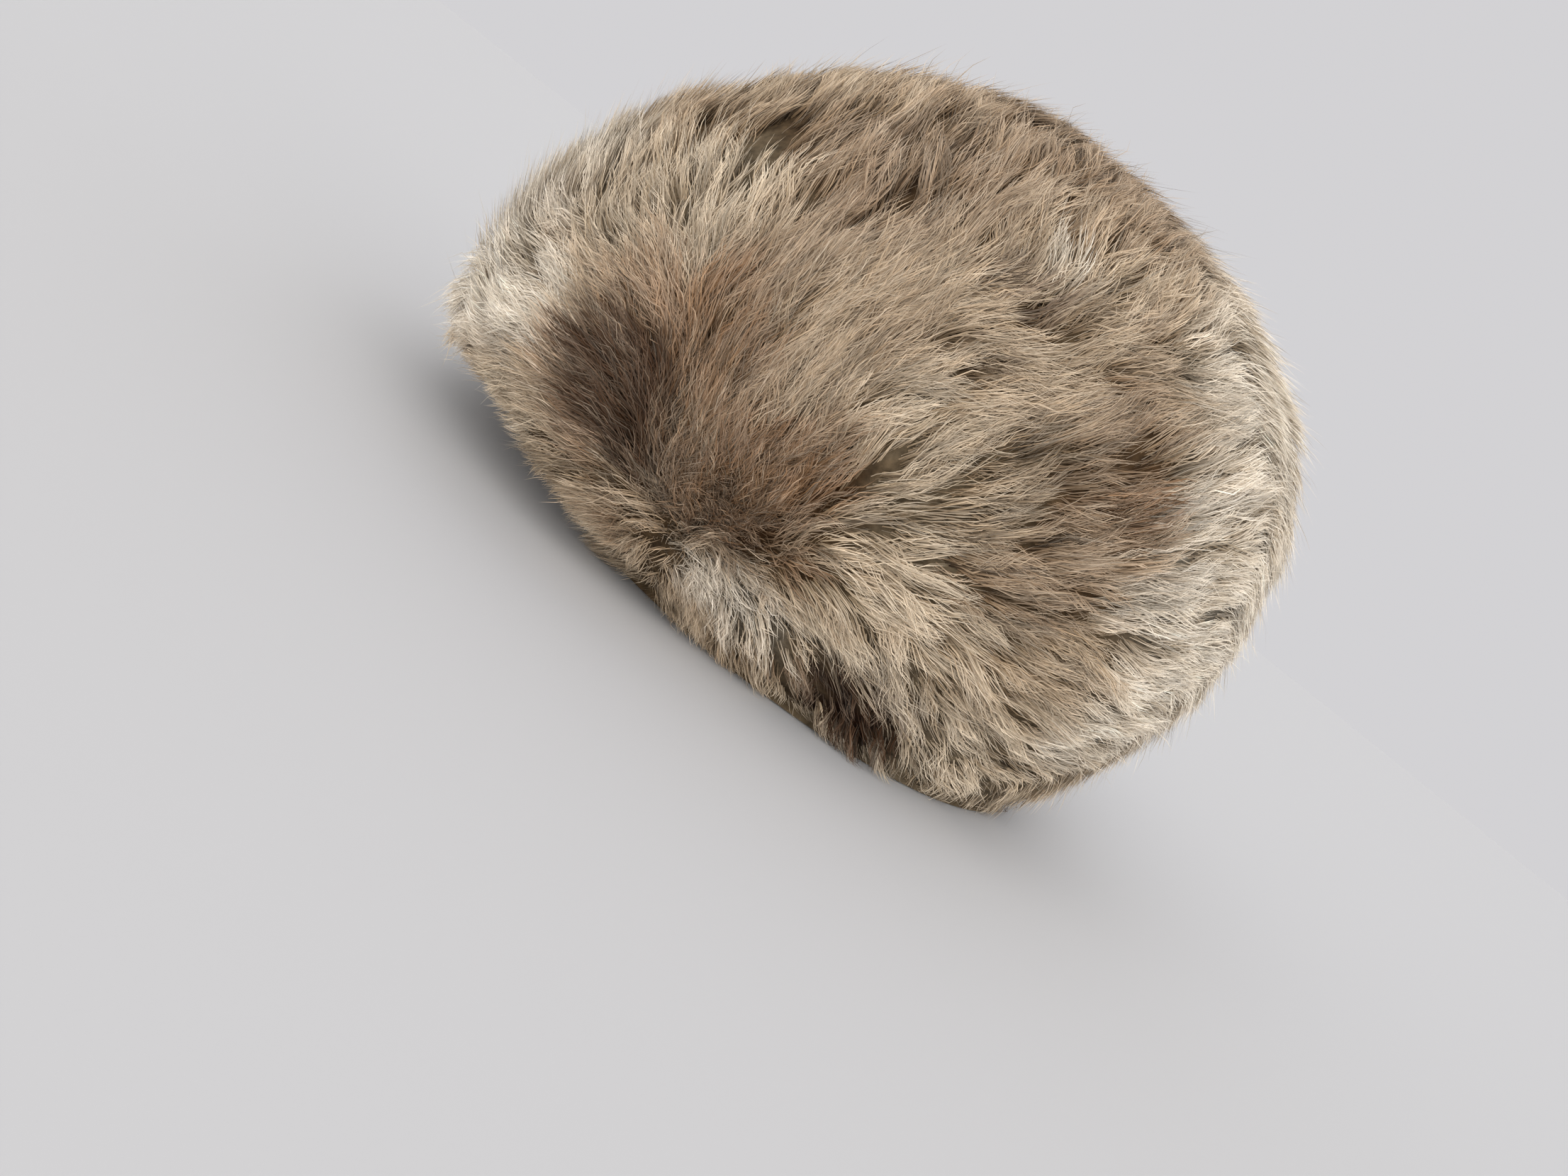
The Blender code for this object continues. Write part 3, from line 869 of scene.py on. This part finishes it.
def tint_by_noise(tree, scale, detail, low, high):
    """Gives the shader the wool's colour with its painted shade from the hairs' attribute, uneven
    by a fine noise, which comes back.
    """
    tint = tree.nodes.new("ShaderNodeAttribute")
    tint.attribute_name = "fur_tint_and_shade"
    place = tree.nodes.new("ShaderNodeTexCoord")
    noise = tree.nodes.new("ShaderNodeTexNoise")
    noise.inputs["Scale"].default_value = scale
    noise.inputs["Detail"].default_value = detail
    spread = tree.nodes.new("ShaderNodeMapRange")
    spread.inputs["From Min"].default_value = 0.3
    spread.inputs["From Max"].default_value = 0.7
    spread.inputs["To Min"].default_value = low
    spread.inputs["To Max"].default_value = high
    mix = tree.nodes.new("ShaderNodeVectorMath")
    mix.operation = "SCALE"
    tree.links.new(place.outputs["Object"], noise.inputs["Vector"])
    tree.links.new(noise.outputs["Fac"], spread.inputs["Value"])
    tree.links.new(tint.outputs["Color"], mix.inputs[0])
    tree.links.new(spread.outputs["Result"], mix.inputs["Scale"])
    shader = tree.nodes["Principled BSDF"]
    tree.links.new(mix.outputs["Vector"], shader.inputs["Base Color"])
    return noise


def add_bump(tree, noise, strength, distance):
    bump = tree.nodes.new("ShaderNodeBump")
    bump.inputs["Strength"].default_value = strength
    bump.inputs["Distance"].default_value = distance
    tree.links.new(noise.outputs["Fac"], bump.inputs["Height"])
    shader = tree.nodes["Principled BSDF"]
    tree.links.new(bump.outputs["Normal"], shader.inputs["Normal"])


def fur_material():
    """Combed sheep's wool: its colour, with painted shade and highlight, is in the hairs, with
    fine streaks.
    """
    material, tree = node_tree("telpek_fur")
    if tree is None:
        return material
    shader = tree.nodes["Principled BSDF"]
    shader.inputs["Roughness"].default_value = 0.62
    shader.inputs["Specular IOR Level"].default_value = 0.12
    tint_by_noise(tree, 420, 3, 0.82, 1.14)
    return material


def underwool_shade_material():
    """The wool that shows between the locks, darkened as painted shade for the gaps."""
    material, tree = node_tree("telpek_underwool_shade")
    if tree is None:
        return material
    shader = tree.nodes["Principled BSDF"]
    shader.inputs["Roughness"].default_value = 0.9
    shader.inputs["Specular IOR Level"].default_value = 0.1
    wool = tint_by_noise(tree, 260, 6, 0.5, 1.5)
    add_bump(tree, wool, 0.7, 0.002)
    return material


def hide_material():
    """The suede side of the skin, inside the hat."""
    material, tree = node_tree("telpek_hide")
    if tree is None:
        return material
    base = bpy.context.scene.telpek_form.hide_colour
    shader = tree.nodes["Principled BSDF"]
    shader.inputs["Roughness"].default_value = 0.85
    shader.inputs["Sheen Weight"].default_value = 0.3
    place = tree.nodes.new("ShaderNodeTexCoord")
    nap = tree.nodes.new("ShaderNodeTexNoise")
    nap.inputs["Scale"].default_value = 60
    nap.inputs["Detail"].default_value = 8
    ramp = tree.nodes.new("ShaderNodeValToRGB")
    ramp.color_ramp.elements[0].color = (*(0.75 * part for part in base), 1)
    ramp.color_ramp.elements[1].color = (*(1.1 * part for part in base), 1)
    tree.links.new(place.outputs["Object"], nap.inputs["Vector"])
    tree.links.new(nap.outputs["Fac"], ramp.inputs["Fac"])
    tree.links.new(ramp.outputs["Color"], shader.inputs["Base Color"])
    add_bump(tree, nap, 0.25, 0.001)
    return material


def floor_material():
    """The pale matt floor."""
    material, tree = node_tree("telpek_floor")
    if tree is None:
        return material
    base = bpy.context.scene.telpek_studio.floor_colour
    shader = tree.nodes["Principled BSDF"]
    shader.inputs["Base Color"].default_value = (*base, 1)
    shader.inputs["Roughness"].default_value = 0.9
    shader.inputs["Specular IOR Level"].default_value = 0.1
    return material


class TELPEK_OT_pelts(bpy.types.Operator):
    """Makes the four pelt walls that carry the fur"""

    bl_idname = "telpek.pelts"
    bl_label = "Pelts"

    def execute(self, context):
        s = context.scene.telpek_form
        form = HatForm(s)
        SURFACE["ground"] = Ground(form)
        along = np.linspace(0, 1, 73)[:, None]
        seam = form.seam(along)
        for name, node, side in (("left_pelt", "left_side_panel", -1),
                                 ("right_pelt", "right_side_panel", 1)):
            across = side * (1 - np.linspace(0, 1, 25)[None, :] * (seam - SEAM_GAP))
            add_pelt(name, form.dome(along, across, s.skin_depth),
                     form.dome(along, across, s.wall), node)
        across = np.linspace(-1, 1, 61)[None, :] * (1 - seam - SEAM_GAP)
        add_pelt("strip_pelt", form.dome(along, across, s.skin_depth),
                 form.dome(along, across, s.wall), "centre_strip")
        turn = np.linspace(-np.pi, np.pi, 145)[None, :]
        way = np.linspace(0.02, 2, 14)[:, None]
        face = form.hem(turn, way)
        outer = form.sink(face, 0.0045 * (way < 0.98)) + (0, 0, FLOOR_GAP)
        top = form.sink(outer[:1], s.wall - s.skin_depth)
        inner = top + (outer[-1:] - top) * np.linspace(0, 1, len(way))[:, None, None]
        for sheet in (outer, inner):
            sheet[..., 2] = np.minimum(sheet[..., 2], HEM_TOP - FLOOR_GAP)
        add_pelt("hem_pelt", outer, inner, "rim_hem")
        return {"FINISHED"}


def sow(part, hairs, seed, keep):
    """Roots for the locks of one piece, closer together where the pile parts."""
    s = bpy.context.scene.telpek_fur
    ground = SURFACE["ground"]

    def weight(first, second, points):
        near = near_pole(ground.form, points.reshape(-1, 3), 0.020, PARTING_DROP * part)
        return keep(first, second, points) * (1 + (9 if part else 2.5) * near.reshape(
            points.shape[:2]))

    return ground.scatter(np.random.default_rng(seed), part, hairs // s.hairs_per_lock, weight)


class TELPEK_OT_side_fur(bpy.types.Operator):
    """Grows the fur of the two side panels, combed outwards from over the ears"""

    bl_idname = "telpek.side_fur"
    bl_label = "Side fur"

    def execute(self, context):
        s = context.scene.telpek_fur
        form = SURFACE["ground"].form
        for name, side, low, high, share, seed in (
                ("left_front_fur", -1, 0.0, 0.46, 1.0, 21),
                ("left_back_fur", -1, 0.46, 1.0, 1.0, 22),
                ("right_front_fur", 1, 0.0, 0.46, s.far_share, 23),
                ("right_back_fur", 1, 0.46, 1.0, s.far_share, 24)):

            def keep(along, across, points, side=side, low=low, high=high):
                on_panel = (across * side > 0) & (1 - np.abs(across) < form.seam(along) + 0.01)
                return on_panel & (along >= low) & (along < high)

            hairs = int(s.hairs * share)
            grow_fur(name, sow(0, hairs, seed, keep), hairs, seed + 100)
        return {"FINISHED"}


class TELPEK_OT_strip_fur(bpy.types.Operator):
    """Grows the fur of the centre strip, over the brow, the crown and the nape"""

    bl_idname = "telpek.strip_fur"
    bl_label = "Strip fur"

    def execute(self, context):
        s = context.scene.telpek_fur
        form = SURFACE["ground"].form
        for name, low, high, seed in (
                ("brow_fur", 0.0, 0.36, 25),
                ("crown_fur", 0.36, 0.62, 26),
                ("nape_fur", 0.62, 1.0, 27)):

            def keep(along, across, points, low=low, high=high):
                on_strip = 1 - np.abs(across) > form.seam(along) - 0.01
                return on_strip & (along >= low) & (along < high)

            grow_fur(name, sow(0, s.hairs, seed, keep), s.hairs, seed + 100, 1.05)
        return {"FINISHED"}


class TELPEK_OT_hem_fur(bpy.types.Operator):
    """Grows the fluffy fur of the turned hem"""

    bl_idname = "telpek.hem_fur"
    bl_label = "Hem fur"

    def execute(self, context):
        s = context.scene.telpek_fur

        def keep(turn, way, points):
            return np.where(way < 1.05, 1.0, 0.35)

        grow_fur("hem_fur_edge", sow(1, s.hairs, 28, keep), s.hairs, 128, 0.66)
        return {"FINISHED"}


def add_sun(name, way, strength, spread, colour):
    """A soft light from far off, shining from a direction."""
    bpy.ops.object.select_all(action="DESELECT")
    turn = Vector(way).to_track_quat("Z", "Y").to_euler()
    bpy.ops.object.light_add(type="SUN", location=Vector(way).normalized() * 2, rotation=turn)
    light = bpy.context.object
    light.name = name
    light.data.energy = strength
    light.data.angle = math.radians(spread)
    light.data.color = colour
    return light


class TELPEK_OT_studio(bpy.types.Operator):
    """Adds the floor, the light and the camera"""

    bl_idname = "telpek.studio"
    bl_label = "Studio"

    def execute(self, context):
        s = context.scene.telpek_studio
        bpy.ops.object.select_all(action="DESELECT")
        bpy.ops.mesh.primitive_circle_add(
            vertices=96, radius=s.floor_radius, fill_type="NGON", location=(0, 0, 0))
        floor = context.object
        floor.name = "studio_floor"
        floor.data.materials.append(floor_material())
        floor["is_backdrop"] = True

        world = context.scene.world or bpy.data.worlds.new("telpek_world")
        context.scene.world = world
        world.use_nodes = True
        sky = world.node_tree.nodes["Background"]
        sky.inputs["Color"].default_value = (*s.sky_colour, 1)
        sky.inputs["Strength"].default_value = 1.0

        for light in LIGHTS:
            add_sun(*light)

        bpy.ops.object.select_all(action="DESELECT")
        bpy.ops.object.camera_add()
        eye = context.object
        eye.name = "telpek_camera"
        eye.data.lens = s.lens
        eye.data.sensor_width = 36
        eye.data.clip_start = 0.01
        turn = Matrix.Rotation(-s.hat_tilt, 4, "Y") @ Matrix.Rotation(
            math.radians(90) - s.camera_pitch, 4, "X")
        eye.matrix_world = Matrix.Translation(s.camera_place) @ turn
        context.scene.camera = eye
        context.scene.view_settings.view_transform = "Standard"
        return {"FINISHED"}


class TELPEK_PT_panel(bpy.types.Panel):
    """The hat's pieces, in the sidebar"""

    bl_idname = "TELPEK_PT_panel"
    bl_label = "Telpek Hat"
    bl_space_type = "VIEW_3D"
    bl_region_type = "UI"
    bl_category = "Telpek"

    def draw(self, context):
        for step in STEPS:
            self.layout.operator(step.bl_idname)


STEPS = (
    TELPEK_OT_pelts,
    TELPEK_OT_side_fur,
    TELPEK_OT_strip_fur,
    TELPEK_OT_hem_fur,
    TELPEK_OT_studio,
)
SETTINGS = (
    ("telpek_form", TelpekFormSettings),
    ("telpek_fur", TelpekFurSettings),
    ("telpek_studio", TelpekStudioSettings),
)


def register():
    for _, group in SETTINGS:
        bpy.utils.register_class(group)
    for step in STEPS:
        bpy.utils.register_class(step)
    bpy.utils.register_class(TELPEK_PT_panel)
    for name, group in SETTINGS:
        setattr(bpy.types.Scene, name, bpy.props.PointerProperty(type=group))


def unregister():
    for name, _ in SETTINGS:
        delattr(bpy.types.Scene, name)
    bpy.utils.unregister_class(TELPEK_PT_panel)
    for step in reversed(STEPS):
        bpy.utils.unregister_class(step)
    for _, group in reversed(SETTINGS):
        bpy.utils.unregister_class(group)


def main():
    register()
    bpy.ops.telpek.pelts()
    bpy.ops.telpek.side_fur()
    bpy.ops.telpek.strip_fur()
    bpy.ops.telpek.hem_fur()
    bpy.ops.telpek.studio()


if __name__ == "__main__":
    main()
